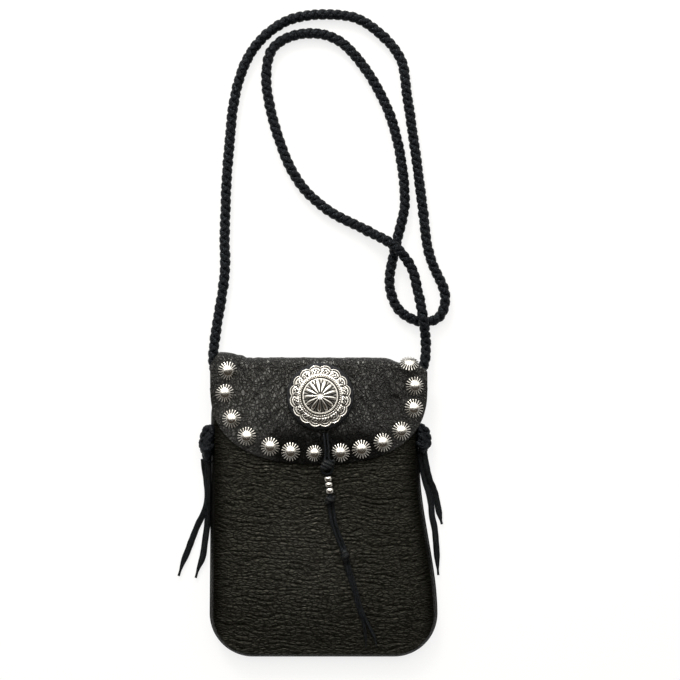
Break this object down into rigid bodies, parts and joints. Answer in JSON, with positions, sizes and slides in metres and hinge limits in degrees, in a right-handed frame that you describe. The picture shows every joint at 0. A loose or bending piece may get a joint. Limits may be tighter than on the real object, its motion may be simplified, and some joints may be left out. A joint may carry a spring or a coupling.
{
  "type": "beaded leather medicine bag",
  "caption": "Flat leather pouch with a hinged rounded flap, fluted metal spots, a scalloped concho, a beaded closing lace and a braided shoulder strap.",
  "frame": {"origin": "on the flat back of the pouch, half way up it and in the middle of its foot's width", "axes": "+X across the pouch to the right as seen from the front, +Y up the pouch from its foot to the fold, +Z out of its front, away from the floor"},
  "size_m": [0.1818, 0.4311, 0.0228],
  "materials": {
    "body_leather": "black pebbled leather with a soft sheen",
    "flap_leather": "black leather with a finer grain",
    "braid": "blue-black leather lace, braided or knotted",
    "silver": "antique silver plate, dark in its hollows"
  },
  "bodies": {
    "pouch": {"back_panel": "body_leather", "front_panel": "body_leather", "gusset": "body_leather", "shoulder_strap": "braid", "strap_knot_left": "braid", "strap_knot_right": "braid", "left_tail_outer": "braid", "left_tail_inner": "braid", "right_tail_outer": "braid", "right_tail_inner": "braid", "button_knot": "braid", "bead_lace": "braid", "bead_1": "silver", "bead_2": "silver", "bead_3": "silver", "middle_knot": "braid", "drop_lace_a": "braid", "drop_lace_b": "braid", "lower_knot": "braid", "drop_tail_a": "braid", "drop_tail_b": "braid"},
    "flap": {"flap": "flap_leather", "concho_backing": "body_leather", "concho": "silver", "concho_screw": "silver", "closing_loop": "braid", "stud_01": "silver", "stud_02": "silver", "stud_03": "silver", "stud_04": "silver", "stud_05": "silver", "stud_06": "silver", "stud_07": "silver", "stud_08": "silver", "stud_09": "silver", "stud_10": "silver", "stud_11": "silver", "stud_12": "silver", "stud_13": "silver", "stud_14": "silver"}
  },
  "joints": [
    {"name": "flap_hinge", "type": "hinge", "parent": "pouch", "child": "flap", "pos_m": [0, 0.0998, 0.0055], "axis": [-1, 0, 0], "range_deg": [0, 120]}
  ]
}
